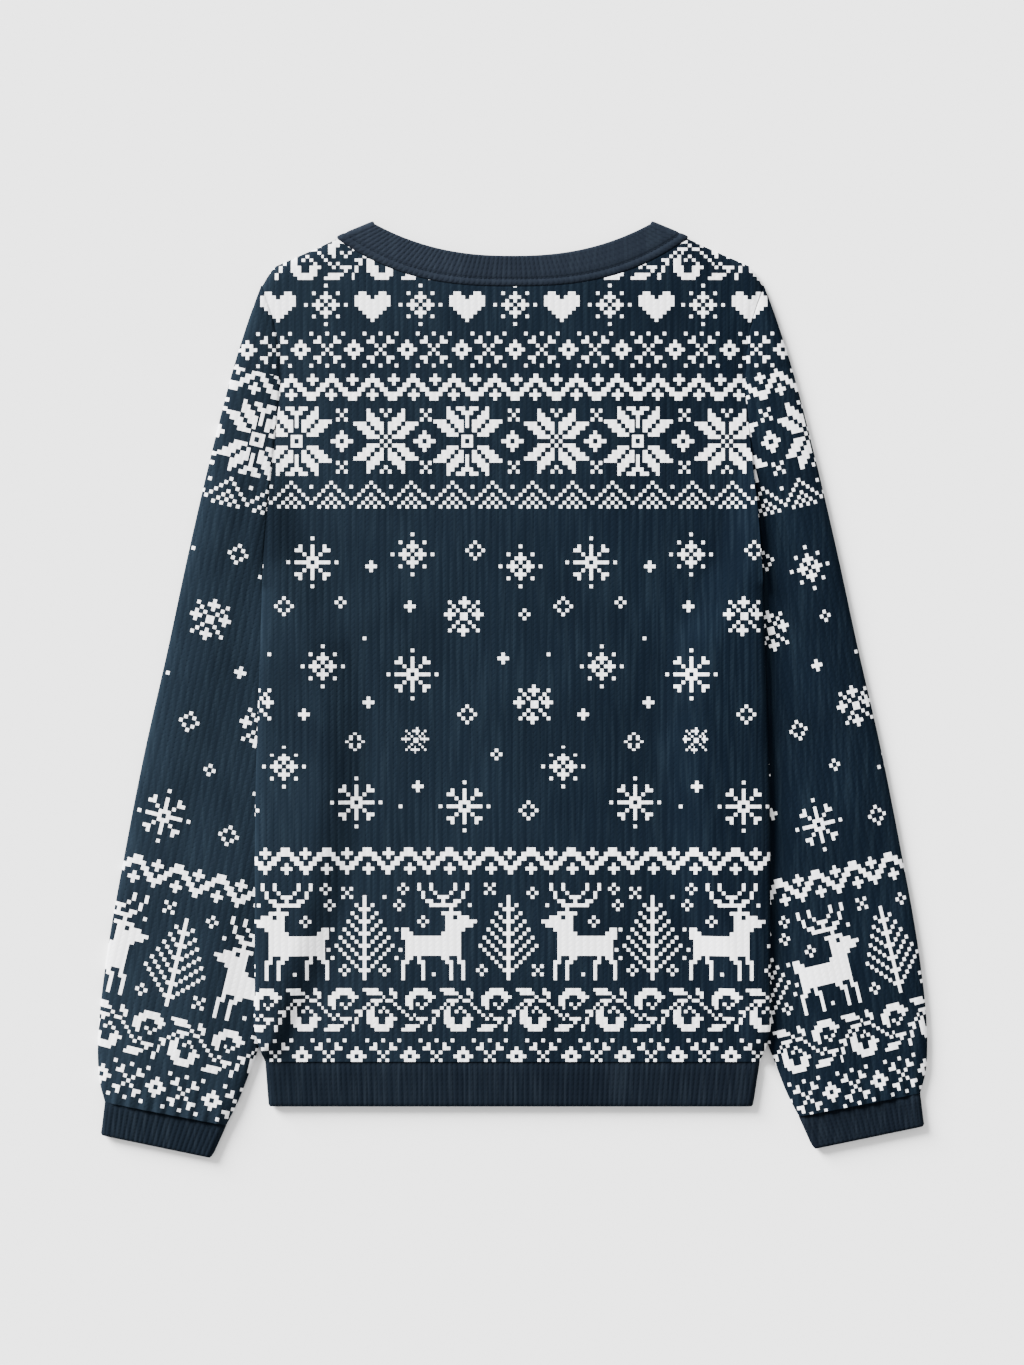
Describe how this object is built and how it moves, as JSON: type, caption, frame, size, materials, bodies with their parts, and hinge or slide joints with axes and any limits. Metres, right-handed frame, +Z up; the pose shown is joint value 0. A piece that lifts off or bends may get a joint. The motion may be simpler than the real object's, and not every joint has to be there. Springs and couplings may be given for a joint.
{
  "type": "christmas sweater",
  "caption": "Long-sleeved crew-neck knitted sweater laid flat with its back up, sleeves beside the body, with ribbed neckband, hem band and cuffs.",
  "frame": {"origin": "on the surface that the garment lies on, under the middle of its outline", "axes": "+Y towards the neck, +Z up out of the surface and out of the garment's back, +X to the right seen from above"},
  "size_m": [0.6482, 0.7318, 0.0146],
  "materials": {
    "knit": "matte ribbed knit, dark navy with white chart pattern",
    "rib": "matte rib knit, dark navy"
  },
  "bodies": {
    "root": {"back": "knit", "front": "knit", "sleeve_left": "knit", "sleeve_right": "knit", "neckband": "rib", "hem_band": "rib", "cuff_left": "rib", "cuff_right": "rib"}
  },
  "joints": []
}
